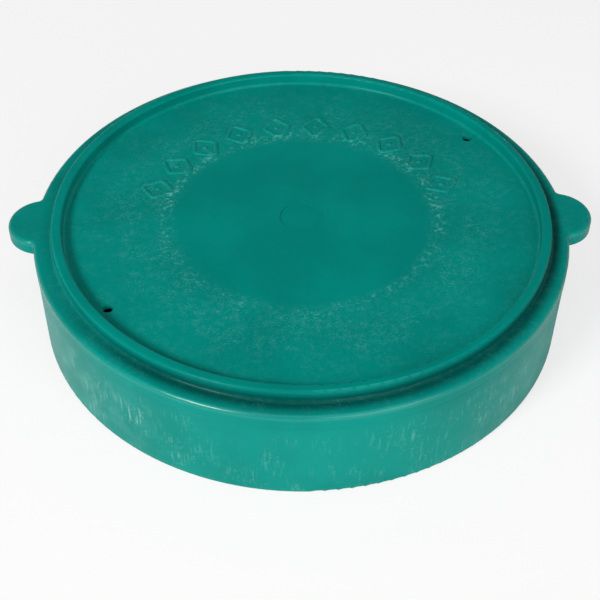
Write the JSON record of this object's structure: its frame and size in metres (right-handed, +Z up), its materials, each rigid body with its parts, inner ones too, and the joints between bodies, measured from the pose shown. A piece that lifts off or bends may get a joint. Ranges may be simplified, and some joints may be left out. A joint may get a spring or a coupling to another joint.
{
  "type": "tortilla warmer",
  "caption": "Round plastic tortilla warmer: a straight-sided base bowl with a press-on lid that has a raised stacking ring, pry tabs and steam vents.",
  "frame": {"origin": "centre of the foot ring, on the surface the warmer stands on", "axes": "+Z up, the way the lid lifts; X through the two pry tabs, the widest way"},
  "size_m": [0.222, 0.202, 0.044],
  "materials": {
    "teal_plastic": "moulded teal-green polypropylene, satin, with fine frosting and light scuffs"
  },
  "bodies": {
    "base": {"base": "teal_plastic"},
    "lid": {"lid": "teal_plastic"}
  },
  "joints": [
    {"name": "lid_lift", "type": "slide", "parent": "base", "child": "lid", "axis": [0, 0, 1], "range_m": [0, 0.06]}
  ]
}
